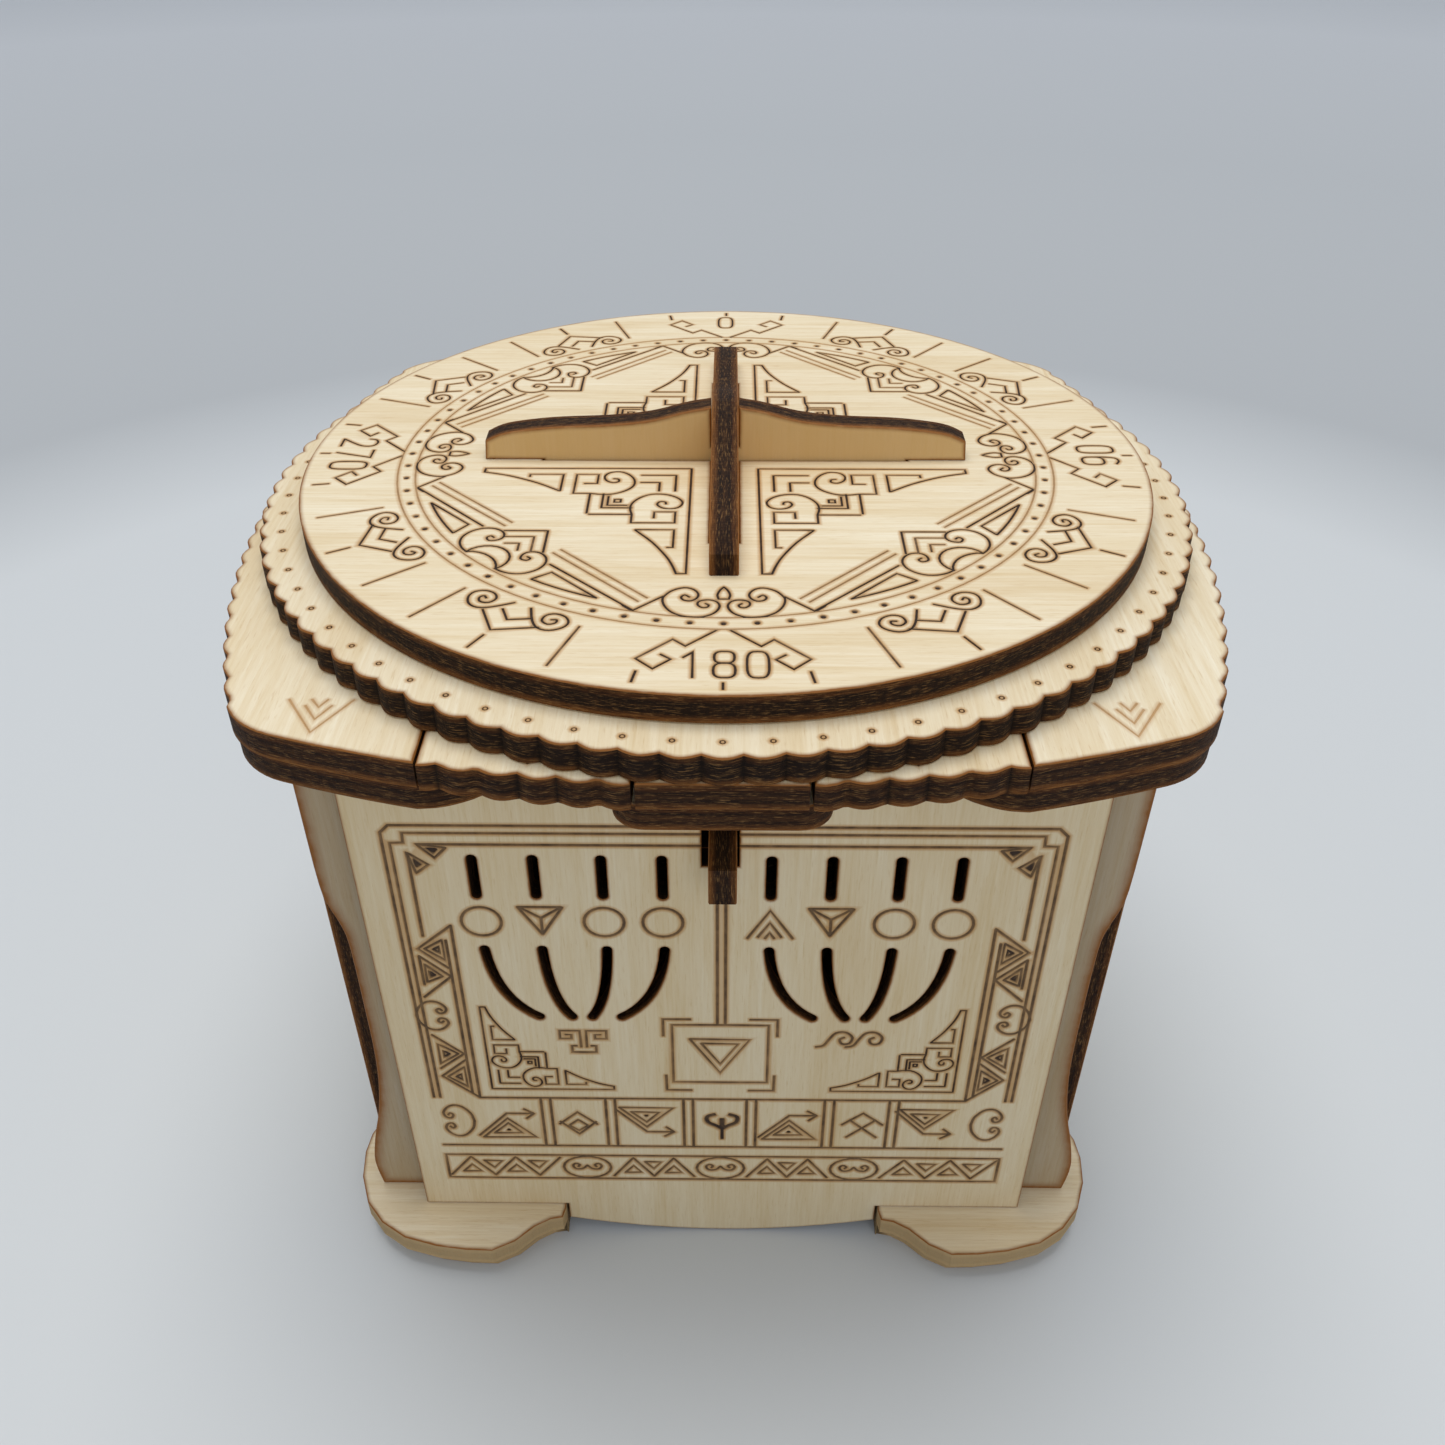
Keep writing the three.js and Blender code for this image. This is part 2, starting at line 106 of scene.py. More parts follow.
def curve(*points, width=LINE, tone=1.0, steps=3):
    """A smooth line through the points."""
    p = np.array(points, float)
    ends = [2 * p[0] - p[1], *p, 2 * p[-1] - p[-2]]
    out = []
    for a, b, c, d in zip(ends, ends[1:], ends[2:], ends[3:]):
        for i in range(steps):
            t = i / steps
            out.append(
                0.5 * (2 * b + (c - a) * t + (2 * a - 5 * b + 4 * c - d) * t ** 2
                       + (3 * b - a - 3 * c + d) * t ** 3)
            )
    out.append(p[-1])
    return [(np.array(out), width / 2, tone)]


def arc(x, y, radius, start, end, width=LINE, tone=1.0, end_radius=None, step=None):
    """Part of a circle in degrees, or of a spiral if end_radius is given."""
    span = abs(end - start)
    step = step or min(24, max(3, 40 / max(radius, end_radius or 0)))
    count = max(2, math.ceil(span / step))
    last = radius if end_radius is None else end_radius
    out = []
    for i in range(count + 1):
        angle = math.radians(start + (end - start) * i / count)
        r = radius + (last - radius) * i / count
        out.append((x + r * math.cos(angle), y + r * math.sin(angle)))
    return [(np.array(out), width / 2, tone)]


def oval(x, y, half_x, half_y, width=LINE, tone=1.0, power=1.0, count=18):
    """An ellipse; a power below 1 makes it squarer."""
    out = []
    for i in range(count + 1):
        angle = 2 * math.pi * i / count
        c, s = math.cos(angle), math.sin(angle)
        out.append((
            x + half_x * math.copysign(abs(c) ** power, c),
            y + half_y * math.copysign(abs(s) ** power, s),
        ))
    return [(np.array(out), width / 2, tone)]


def changed(strokes, matrix=((1, 0), (0, 1)), shift=(0, 0), scale=1.0):
    """The strokes turned, mirrored, scaled and shifted; line widths stay."""
    m = np.array(matrix, float) * scale
    return [(p @ m.T + np.array(shift), w, tone) for p, w, tone in strokes]


def rotated(strokes, degrees):
    c, s = math.cos(math.radians(degrees)), math.sin(math.radians(degrees))
    return changed(strokes, ((c, -s), (s, c)))


def both_sides(strokes):
    return strokes + changed(strokes, ((-1, 0), (0, 1)))


def both_ways(strokes):
    """With a mirror image about the diagonal between +X and -Y."""
    return strokes + changed(strokes, ((0, -1), (-1, 0)))


def four_times(strokes):
    return [s for turn in range(4) for s in rotated(strokes, 90 * turn)]


# ---------------------------------------------------------------- digits
def digit(character, x, y, tall=4.2, wide=2.0):
    """A plain engraved digit standing on y, centred on x."""
    r, h = wide / 2, tall
    if character == "0":
        return oval(x, y + h / 2, r, h / 2, power=0.62, count=24)
    if character == "1":
        return line((x - 0.7 * r, y + 0.76 * h), (x + 0.2 * r, y + h), (x + 0.2 * r, y))
    if character == "2":
        return curve(
            (x - r, y + 0.74 * h), (x - 0.75 * r, y + 0.93 * h), (x, y + h), (x + 0.8 * r, y + 0.92 * h),
            (x + r, y + 0.72 * h), (x + 0.6 * r, y + 0.48 * h), (x - r, y),
        ) + line((x - r, y), (x + r, y))
    if character == "7":
        return line((x - r, y + h), (x + r, y + h), (x - 0.3 * r, y))
    if character == "8":
        return (oval(x, y + 0.775 * h, 0.93 * r, 0.225 * h, power=0.7)
                + oval(x, y + 0.275 * h, r, 0.275 * h, power=0.7))
    if character == "9":
        return oval(x, y + 0.7 * h, r, 0.3 * h, power=0.7) + curve(
            (x + r, y + 0.7 * h), (x + r, y + 0.4 * h), (x + 0.75 * r, y + 0.08 * h),
            (x, y), (x - 0.8 * r, y + 0.1 * h),
        )
    raise ValueError(character)


def number(text, x, y, pitch=3.05):
    """Digits side by side, centred on x."""
    start = x - pitch * (len(text) - 1) / 2
    return [s for i, c in enumerate(text) for s in digit(c, start + pitch * i, y)]


# ---------------------------------------------------------------- ornament of the dial
def scroll_pair():
    """Two facing C scrolls under a bud, pointing at one quarter mark."""
    scroll = curve(
        (3.35, -31.85), (3.8, -31.45), (4.15, -31.85), (3.9, -32.4), (3.2, -32.55), (2.6, -32.0),
        (2.5, -31.2), (3.0, -30.4), (3.9, -30.1), (5.0, -30.6), (5.7, -31.5), (5.95, -32.3),
        (5.7, -33.5), (5.0, -34.6), (3.9, -35.3), (2.6, -35.5), (1.6, -35.25), (0.8, -34.6),
        (0.4, -33.6), (0.6, -32.8), (1.2, -32.4), (1.9, -32.4), (2.45, -32.7), (2.5, -33.3),
        (2.1, -33.75), (1.6, -33.7), (1.45, -33.3), (1.75, -33.05),
    )
    bud = curve((0, -29.95), (0.35, -30.5), (0.62, -31.4), (0.5, -32.15))
    return both_sides(scroll + bud) + line((-0.5, -32.2), (0.5, -32.2))


def quarter_mark():
    """A zigzag roof that ends in a square spiral, on both sides of a number."""
    roof = line(
        (0.65, -37.75), (3.5, -40.45), (4.7, -39.3), (8.0, -42.5),
        (6.35, -44.15), (4.75, -42.6), (5.7, -41.85),
    )
    tick = line((0, -46.3), (0, -47.3))
    side = rotated(line((0, -45.2), (0, -46.9)), 10)
    return both_sides(roof + side) + tick


def diagonal_lines():
    """Parallel lines from a scroll pair to the diagonal ornament."""
    thin = 0.24
    return (
        line((5.9, -31.7), (8.7, -34.3), (17.6, -25.65))
        + line((7.45, -32.05), (16.8, -22.65), width=thin, tone=0.7)
        + line((8.3, -32.7), (17.55, -23.3), width=thin, tone=0.7)
        + line((9.0, -34.2), (9.7, -33.5))
        + line((12.4, -32.05), (17.25, -27.2), (19.1, -28.5))
        + arc(0, 0, 34.4, -68.9, -56.2, step=3)
    )


def diagonal_ornament():
    """Bracket, two scrolls and a leaf on the diagonal; drawn for half of it."""
    bracket = line((18.6, -18.6), (23.2, -18.6)) + line((19.9, -19.9), (23.1, -19.9), width=0.26, tone=0.85)
    scroll = curve(
        (24.1, -20.1), (24.45, -19.75), (24.85, -20.1), (24.5, -20.75), (23.6, -20.6), (23.1, -19.9),
        (23.3, -18.9), (24.2, -18.2), (25.4, -18.1), (26.6, -18.7), (27.4, -19.9), (27.5, -21.2),
        (27.1, -22.3), (26.5, -23.1),
    )
    inner = line((21.3, -21.3), (22.8, -21.3), width=0.26, tone=0.85)
    leaf = arc(24.4, -24.4, 2.53, 33.7, 236.3) + arc(26.42, -26.42, 3.42, 88.7, 181.3)
    return both_ways(bracket + scroll + inner) + leaf


def corner_ornament():
    """Fret with nested squares and scrolls that fills the corner between two fins; half of it."""
    frame_line = line((3.8, -3.8), (3.8, -27.4), (4.8, -27.4))
    hollow = curve((4.8, -27.4), (5.3, -25.6), (6.0, -23.8), (7.5, -21.0), (9.4, -18.4))
    triangle = line((9.4, -18.3), (5.3, -18.3), (5.3, -22.1), (5.9, -22.1))
    fret = line(
        (7.6, -15.7), (7.6, -14.3), (5.3, -14.3), (5.3, -16.8), (10.0, -16.8), (10.0, -14.9), (14.6, -14.9),
    )
    scroll = curve(
        (10.0, -14.9), (10.25, -13.6), (10.1, -12.3), (9.3, -11.0), (8.1, -10.2), (6.6, -10.2),
        (5.3, -10.9), (4.6, -12.0), (4.9, -13.1), (5.8, -13.6), (6.8, -13.35), (7.35, -12.6),
        (7.1, -11.95), (6.5, -12.0), (6.4, -12.5),
    )
    nest = line((5.5, -9.4), (5.5, -5.5)) + line((7.3, -9.4), (7.3, -7.3))
    nest += line((5.5, -5.5), (5.6, -5.5))
    nest += line((10.1, -13.4), (13.4, -13.4)) + line((10.7, -12.8), (12.8, -12.8))
    inner = loop((11.4, -11.4), (12.1, -11.4), (12.1, -12.1), (11.4, -12.1))
    return both_ways(frame_line + hollow + triangle + fret + scroll + nest) + inner


def rim_fleur():
    """Chevron with two scrolls and a short tick, near the rim at 30 degrees from a quarter mark."""
    outer = line((-3.6, -41.1), (0.0, -43.7), (2.9, -41.2))
    inner = line((-2.2, -40.15), (-0.25, -41.5), (1.3, -40.15), width=0.26)
    scroll = curve(
        (3.9, -39.4), (4.35, -39.15), (4.55, -39.65), (4.05, -40.2), (3.2, -39.95), (3.0, -39.0),
        (3.7, -38.3), (4.8, -38.3), (5.6, -39.0), (5.6, -40.0), (4.8, -41.0), (3.6, -41.2), (2.4, -40.4),
        (1.0, -38.7),
    )
    tick = line((0, -44.7), (0, -47.1))
    return rotated(both_sides(scroll) + outer + inner + tick, 30)


def circle_of_points(radius):
    """The places of the 72 small marks of a circle, 5 degrees apart."""
    angles = [math.radians(5 * i) for i in range(72)]
    return [(radius * math.cos(a), radius * math.sin(a)) for a in angles]


def dial_strokes():
    soft = {"width": 0.2, "tone": 0.62}
    strokes = arc(0, 0, 35.6, 0, 360, step=3, **soft) + arc(0, 0, 37.6, 0, 360, step=3, **soft)
    for x, y in circle_of_points(36.6):
        strokes += dot(x, y, 0.33)
    quarter = scroll_pair() + quarter_mark() + both_sides(diagonal_lines())
    quarter += diagonal_ornament() + corner_ornament() + both_sides(rim_fleur())
    for degrees in (20, 40, 50, 70):
        quarter += rotated(line((0, -39.6), (0, -46.5), width=0.26, tone=0.85), degrees)
    strokes += four_times(quarter)
    for turn, text in enumerate(("180", "90", "0", "270")):
        strokes += rotated(number(text, 0.1, -45.5), 90 * turn)
    return strokes


def ring_strokes():
    strokes = []
    for x, y in circle_of_points(50.7):
        strokes += arc(x, y, 0.24, 0, 360, width=0.16, tone=0.9, step=45)
    return strokes


# ---------------------------------------------------------------- ornament of the walls
BROWN = {"width": 0.44, "tone": 0.82}
FINE_HALF, FINE_TONE = 0.15, 0.9        # lines that a wall takes from the dial, made smaller


def arrow(x, z, up):
    """A peak that runs on into an arrow, over a small triangle; upside down if up is -1."""
    marks = line((-3.9, -3.0), (0, 1.6), (3.1, 1.6), **BROWN)
    marks += line((2.3, 2.5), (3.5, 1.6), (2.5, 0.6), **BROWN)
    marks += loop((-3.4, -3.4), (0, 0.6), (3.6, -3.4), **BROWN)
    marks += loop((-1.9, -2.5), (0, -0.4), (1.8, -2.5), **BROWN)
    marks += dot(0, -1.8, 0.3)
    return changed(marks, ((1, 0), (0, up)), (x, z))


def zigzag(start, end, count):
    """A row of nested triangles between two borders, pointing up and down in turn."""
    low, high = 12.5, 16.5
    small = 0.42
    wide = (end - start) / (count + 1)
    marks = []
    for i in range(count):
        x0 = start + wide * i
        base, tip = (low, high) if i % 2 == 0 else (high, low)
        marks += line((x0, base), (x0 + wide, tip), (x0 + 2 * wide, base), **BROWN)
        inner_base = base + (tip - base) * 0.2
        inner_tip = base + (tip - base) * 0.6
        marks += loop(
            (x0 + wide * (1 - small), inner_base), (x0 + wide * (1 + small), inner_base),
            (x0 + wide, inner_tip), **BROWN,
        )
    return marks


def bow(x, z):
    """Two small scrolls side by side in an oval."""
    half = curve((0, 0.5), (0.6, -0.2), (1.5, -0.3), (1.9, 0.4), (1.5, 0.9), (1.0, 0.6), (1.2, 0.2), **BROWN)
    return oval(x, z, 3.15, 2.35, **BROWN) + changed(both_sides(half), shift=(x, z - 0.1))


def double_scroll(x, z, bulge, reach):
    """A C whose two ends curl in; bulge is the side that it bows to."""
    half = curve(
        (-0.25, 0.95), (0.05, 1.25), (0.4, 0.95), (0.1, 0.45), (-0.55, 0.6), (-0.8, 1.3), (-0.3, 2.1),
        (0.6, 2.55), (1.7, 2.3), (reach * 0.9, 1.2), (reach, 0), **BROWN,
    )
    whole = half + changed(half, ((1, 0), (0, -1)))
    return changed(whole, ((bulge, 0), (0, 1)), (x, z))


def nested_triangle(tip, base_a, base_b):
    """A triangle with a smaller filled one inside it."""
    corners = np.array([tip, base_a, base_b], float)
    middle = corners.mean(axis=0)
    inner = middle + 0.3 * (corners - middle)
    return loop(*corners, **BROWN) + loop(*inner, width=0.5, tone=0.9)


def wall_border(half, top, low):
    """Triple border line with stepped corners and two small triangles; right half."""
    marks = line((0, top), (half - 1.0, top), (half, top - 1.05), (half, low), **BROWN)
    marks += line((0, top - 1.05), (half - 2.3, top - 1.05), (half - 2.3, top - 2.5), (half - 0.8, top - 2.5),
                  (half - 0.8, low), **BROWN)
    marks += line((0, top - 2.7), (half - 3.8, top - 2.7), **BROWN)
    marks += line((half - 2.5, top - 4.0), (half - 2.5, top - 16.7), **BROWN)
    marks += nested_triangle((half - 6.7, top - 3.2), (half - 3.6, top - 2.7), (half - 5.4, top - 4.7))
    marks += nested_triangle((half - 3.1, top - 6.9), (half - 2.4, top - 3.9), (half - 4.6, top - 5.7))
    return marks


def wall_column():
    """The ornamented strip beside the right border."""
    marks = line((30.65, 59.8), (30.65, 29.0), **BROWN) + line((31.5, 57.4), (31.5, 29.8), **BROWN)
    marks += line((30.65, 59.8), (34.9, 56.0), (31.7, 52.8), **BROWN)
    marks += nested_triangle((34.1, 56.0), (31.9, 57.5), (31.9, 54.1))
    marks += line((34.9, 54.8), (34.9, 50.0), **BROWN)
    marks += line((34.9, 54.8), (31.6, 51.4), (35.2, 47.8), **BROWN)
    marks += nested_triangle((32.6, 51.4), (34.5, 53.4), (34.5, 50.4))
    marks += double_scroll(33.7, 44.5, 1, 2.9)
    marks += line((35.2, 41.0), (31.7, 37.5), (34.9, 34.7), **BROWN)
    marks += nested_triangle((32.4, 37.5), (34.8, 39.4), (34.8, 35.5))
    marks += line((34.9, 33.2), (31.7, 36.3), **BROWN) + line((34.9, 33.2), (30.65, 29.0), **BROWN)
    marks += nested_triangle((34.2, 33.1), (31.9, 35.0), (31.9, 31.1))
    return marks


def wall_fret(x, z):
    """The dial's corner ornament, smaller, with its right angle at the outer lower corner on the right."""
    shrink, corner = 0.65, 3.8
    place = (x + shrink * corner, z - shrink * corner)
    scaled = changed(corner_ornament(), ((-1, 0), (0, -1)), place, shrink)
    return [(path, FINE_HALF, FINE_TONE) for path, _, _ in scaled]


def slot_signs():
    """One generic sign between each straight slot and its curved slot."""
    marks = []
    for x in (-27.1, -13.3, -6.7, 19.2, 25.8):
        marks += arc(x, 60.5, 2.25, 0, 360, step=15, **BROWN)
    for x in (-20.35, 12.1):
        marks += loop((x - 2.5, 62.8), (x + 2.5, 62.8), (x, 58.5), **BROWN)
        for dx, z in ((-2.1, 62.6), (2.1, 62.6), (0, 58.9)):
            marks += line((x, 61.1), (x + dx, z), **BROWN)
    marks += line((2.8, 58.1), (5.3, 62.6), (7.9, 58.1), **BROWN)
    marks += line((4.0, 58.3), (5.3, 60.7), (6.6, 58.3), **BROWN)
    marks += line((4.8, 58.1), (5.3, 59.1), (5.8, 58.1), **BROWN)
    return marks


def front_signs():
    """Meander under the left slots, waves under the right ones, and the framed triangle."""
    x = -16.85
    marks = both_sides(
        line(
            (0.35, 39.0), (0.35, 42.0), (2.85, 42.0), (2.85, 40.5), (1.4, 40.5), (1.4, 41.3), (2.1, 41.3),
            **BROWN,
        )
        + line((0.9, 39.2), (1.5, 39.2), (1.5, 38.0), (0, 38.0), **BROWN)
    )
    marks = changed(marks, shift=(x, 0))
    wave = curve(
        (0, -1.3), (0.9, -1.0), (1.5, 0.1), (2.3, 1.3), (3.5, 1.4), (4.3, 0.5), (4.0, -0.6), (3.1, -0.7),
        (2.8, 0.1), (3.3, 0.5), **BROWN,
    )
    marks += changed(wave, shift=(11.4, 40.6)) + changed(wave, shift=(15.0, 40.6))
    marks += line((-0.6, 63.3), (-0.6, 43.4), **BROWN) + line((0.35, 63.3), (0.35, 43.4), **BROWN)
    x = -0.25
    square = both_sides(
        line((0, 43.2), (5.85, 43.2), (5.85, 32.4), (0, 32.4), **BROWN)
        + line((3.6, 44.2), (6.9, 44.2), (6.9, 41.2), **BROWN)
        + line((3.6, 30.8), (6.7, 30.8), (6.7, 33.7), **BROWN)
    )
    square += loop((-3.7, 40.6), (3.7, 40.6), (0, 34.1), **BROWN)
    square += loop((-2.3, 39.8), (2.3, 39.8), (0, 35.8), **BROWN)
    return marks + changed(square, shift=(x, 0))


def icon_row():
    """Seven framed signs over the bottom border."""
    marks = line((-30.7, 29.0), (30.7, 29.0), **BROWN) + line((-36.5, 19.1), (36.5, 19.1), **BROWN)
    for x in (4.0, 13.9, 22.1):
        for side in (-1, 1):
            for edge in (x - 0.6, x + 0.6):
                marks += line((side * edge - 0.3, 28.8), (side * edge - 0.3, 19.3), **BROWN)
    marks += arrow(-27.6, 24.2, 1) + arrow(8.6, 24.2, 1) + arrow(-9.7, 23.8, -1) + arrow(26.0, 23.8, -1)
    x = -18.5
    marks += line((x - 2.4, 23.7), (x, 26.2), (x + 2.4, 23.7), **BROWN)
    marks += line((x - 2.3, 24.2), (x, 21.6), (x + 2.3, 24.2), **BROWN)
    marks += loop((x, 24.6), (x + 1.2, 23.4), (x, 22.3), (x - 1.2, 23.4), **BROWN)
    x = 18.0
    marks += line((x - 2.6, 24.0), (x, 26.4), (x + 2.6, 24.0), **BROWN)
    marks += line((x - 1.7, 25.0), (x + 1.9, 21.4), **BROWN) + line((x + 1.7, 25.0), (x - 1.9, 21.4), **BROWN)
    hook = curve((1.0, 25.9), (1.9, 25.4), (1.8, 24.3), (0.8, 23.6), (0, 22.9), width=0.75, tone=0.9)
    marks += both_sides(hook)
    marks += line((0, 24.9), (0, 23.0), width=0.9, tone=0.9) + line((0, 23.0), (0, 20.9), width=0.5)
    for side in (-1, 1):
        marks += changed(double_scroll(0, 0, -1, 3.0), ((side, 0), (0, 1.25)), (side * 34.9, 24.2))
    return marks


def bottom_border():
    marks = both_sides(line((0, 17.0), (36.5, 17.0), (36.5, 11.9), (0, 11.9), **BROWN))
    for x in (-17.9, -0.2, 17.5):
        marks += bow(x, 14.4)
    for start, end, count in ((-36.2, -21.4, 4), (-14.4, -3.7, 3), (3.3, 14.0, 3), (21.0, 36.2, 4)):
        marks += zigzag(start, end, count)
    return marks


def wall_sides():
    """The border, the column and the fret at the left and right of the front and back."""
    return both_sides(wall_border(36.5, 74.8, 29.0) + wall_column() + wall_fret(28.9, 30.8))


def front_strokes():
    return wall_sides() + slot_signs() + front_signs() + icon_row() + bottom_border()


def back_strokes():
    return wall_sides() + icon_row() + bottom_border()


def side_strokes():
    """The same family of ornament on the narrower side walls."""
    half = wall_border(27.0, 80.0, 14.0) + wall_fret(22.8, 17.0)
    half += line((0, 14.0), (27.0, 14.0), **BROWN) + line((0, 15.1), (26.2, 15.1), **BROWN)
    marks = both_sides(half)
    middle, shrink = 47.0, 0.42
    for path, _, _ in four_times(scroll_pair()):
        marks.append((shrink * path + np.array([0, middle]), FINE_HALF, FINE_TONE))
    return marks + arc(0, middle, 16.4, 0, 360, **BROWN) + arc(0, middle, 17.4, 0, 360, **BROWN)


def lid_strokes():
    """Nested chevrons at the two front corners."""
    soft = {"width": 0.26, "tone": 0.55}
    half = line((41.3, -40.3), (38.0, -45.5), (35.1, -40.3), **soft)
    half += line((39.5, -41.3), (38.1, -43.5), (37.0, -41.3), **soft)
    half += line((39.1, -40.3), (38.2, -41.6), (37.6, -40.3), **soft)
    return both_sides(half)


def slider_strokes(side):
    return loop((side * 15.8, -48.0), (side * 17.4, -49.9), (side * 19.0, -48.0), width=0.24, tone=0.7)


# ---------------------------------------------------------------- plates as meshes
def plate_axis(node):
    low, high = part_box(node)
    size = high - low
    return min(range(3), key=lambda i: size[i])


def plate_loops(node, axis):
    """The closed outlines of a CAD plate in millimetres, as arrays of points."""
    mesh = frame["nodes"][node].data
    co = np.empty(len(mesh.vertices) * 3)
    mesh.vertices.foreach_get("co", co)
    co = co.reshape(-1, 3) / MM
    level = co[:, axis].max()
    flat = np.delete(co, axis, axis=1)
    key = [tuple(p) for p in np.round(flat, 2)]
    on_top = np.abs(co[:, axis] - level) < ON_TOP
    edges = set()
    for face in mesh.polygons:
        corners = list(face.vertices)
        if all(on_top[v] for v in corners):
            pairs = zip(corners, corners[1:] + corners[:1])
            edges.update((key[a], key[b]) for a, b in pairs if key[a] != key[b])
    following = {a: b for a, b in edges if (b, a) not in edges}
    return [np.array(path, float) for path in chained(following)]


def chained(following):
    """Closed loops, as lists, from a map of each item to the next."""
    following = dict(following)
    loops = []
    while following:
        start, here = following.popitem()
        path = [start]
        while here != start:
            path.append(here)
            here = following.pop(here)
        loops.append(path)
    return loops


def side_path(points, distance, closed):
    """The path shifted to its left, with limited mitres."""
    if closed:
        step = np.roll(points, -1, axis=0) - points
    else:
        step = np.diff(points, axis=0)
    step = step / np.maximum(np.linalg.norm(step, axis=1), 1e-9)[:, None]
    normal = np.column_stack([-step[:, 1], step[:, 0]])
    before = np.roll(normal, 1, axis=0) if closed else np.vstack([normal[:1], normal])
    after = normal if closed else np.vstack([normal, normal[-1:]])
    total = before + after
    reach = np.maximum((total * before).sum(axis=1), MITRE)
    return points + distance * total / reach[:, None]


def around(points, reach):
    """A closed line at one distance round a stroke."""
    if len(points) == 1:
        angles = np.linspace(0, 2 * math.pi, 11)[:-1]
        return points[0] + reach * np.column_stack([np.cos(angles), np.sin(angles)])
    start = points[0] - points[1]
    end = points[-1] - points[-2]
    caps = []
    for tip, ahead in ((points[-1], end), (points[0], start)):
        ahead = CAP * reach * ahead / np.linalg.norm(ahead)
        left = np.array([-ahead[1], ahead[0]])
        caps.append([tip + ahead + left, tip + ahead - left])
    left = side_path(points, reach, False)
    right = side_path(points, -reach, False)[::-1]
    return np.vstack([left, caps[0], right, caps[1]])


def seg_distance(points, a, b):
    """Distance from each point to each segment."""
    ab = b - a
    square = np.maximum((ab * ab).sum(axis=1), 1e-12)
    t = np.clip(((points[:, None] - a) * ab).sum(axis=2) / square, 0, 1)
    return np.linalg.norm(points[:, None] - (a + t[..., None] * ab), axis=2)


def in_tiles(points, a, b, reach, size=6.0):
    """Yields (indices of points, indices of segments near them) tile by tile."""
    low, high = np.minimum(a, b) - reach, np.maximum(a, b) + reach
    cells = np.floor(points / size).astype(int)
    order = np.lexsort((cells[:, 1], cells[:, 0]))
    ends = np.flatnonzero(np.any(np.diff(cells[order], axis=0), axis=1)) + 1
    for group in np.split(order, ends):
        p = points[group]
        near = np.all((low <= p.max(axis=0)) & (high >= p.min(axis=0)), axis=1)
        if near.any():
            yield group, np.flatnonzero(near)


def stroke_fields(points, strokes):
    """Depth of the groove and burn at each point."""
    depth, burn = np.zeros(len(points)), np.zeros(len(points))
    if not strokes:
        return depth, burn
    a, b, half, tone = [], [], [], []
    for path, width, strength in strokes:
        ends = path[1:] if len(path) > 1 else path
        starts = path[:-1] if len(path) > 1 else path
        a.append(starts)
        b.append(ends)
        half.append(np.full(len(starts), width))
        tone.append(np.full(len(starts), strength))
    a, b, half, tone = np.vstack(a), np.vstack(b), np.concatenate(half), np.concatenate(tone)
    for group, near in in_tiles(points, a, b, STROKE_REACH):
        d = seg_distance(points[group], a[near], b[near])
        w, s = half[near], tone[near]
        slope = np.clip((w - d) / (0.5 * w), 0, 1)
        depth[group] = (slope * np.minimum(s, 1) * GROOVE).max(axis=1)
        rim = np.clip(1 - (d - w) / HALO, 0, 1)
        burn[group] = (s * (HALO_SHARE * rim + FLOOR_SHARE * slope)).max(axis=1)
    return depth, burn


def outline_distance(points, loops, reach):
    """Distance from each point to the outlines, up to the reach."""
    a = np.vstack(loops)
    b = np.vstack([np.roll(p, -1, axis=0) for p in loops])
    found = np.full(len(points), reach)
    for group, near in in_tiles(points, a, b, reach):
        nearest = seg_distance(points[group], a[near], b[near]).min(axis=1)
        found[group] = np.minimum(found[group], nearest)
    return found


def inside(points, loops):
    """True where a point is inside an odd number of loops."""
    result = np.zeros(len(points), bool)
    for path in loops:
        nxt = np.roll(path, -1, axis=0)
        for (x0, y0), (x1, y1) in zip(path, nxt):
            if y0 == y1:
                continue
            crosses = (points[:, 1] > y0) != (points[:, 1] > y1)
            result ^= crosses & (points[:, 0] < (x1 - x0) * (points[:, 1] - y0) / (y1 - y0) + x0)
    return result


def triangulated(closed_paths, loops):
    """Triangles of the area inside the loops, with every path among their edges."""
    points, edges = [], []
    for path in closed_paths:
        first = len(points)
        points.extend(path.tolist())
        edges.extend((first + i, first + (i + 1) % len(path)) for i in range(len(path)))
    out = delaunay_2d_cdt([Vector(p) for p in points], edges, [], 0, MERGE)
    verts = np.array([(v.x, v.y) for v in out[0]])
    tris = np.array([f for f in out[2] if len(f) == 3])
    tris = tris[inside(verts[tris].mean(axis=1), loops)]
    used, tris = np.unique(tris, return_inverse=True)
    return verts[used], tris.reshape(-1, 3)


def boundary(tris):
    """The directed edges that only one triangle has."""
    edges = {(int(a), int(b)) for t in tris for a, b in ((t[0], t[1]), (t[1], t[2]), (t[2], t[0]))}
    return [(a, b) for a, b in edges if (b, a) not in edges]


def oriented(loops):
    """The loops with material on the left: the outer one anticlockwise, holes clockwise."""
    def area(p):
        n = np.roll(p, -1, axis=0)
        return (p[:, 0] * n[:, 1] - n[:, 0] * p[:, 1]).sum() / 2

    largest = max(loops, key=lambda p: abs(area(p)))
    return [p if (area(p) > 0) == (p is largest) else p[::-1] for p in loops]


def notches(loops):
    """The sharp inward corners of the outlines."""
    found = []
    for path in loops:
        step = np.roll(path, -1, axis=0) - path
        before = np.roll(step, 1, axis=0)
        across = before[:, 0] * step[:, 1] - before[:, 1] * step[:, 0]
        turn = np.arctan2(across, (before * step).sum(axis=1))
        found.append(path[turn < NOTCH_TURN])
    return np.vstack(found)


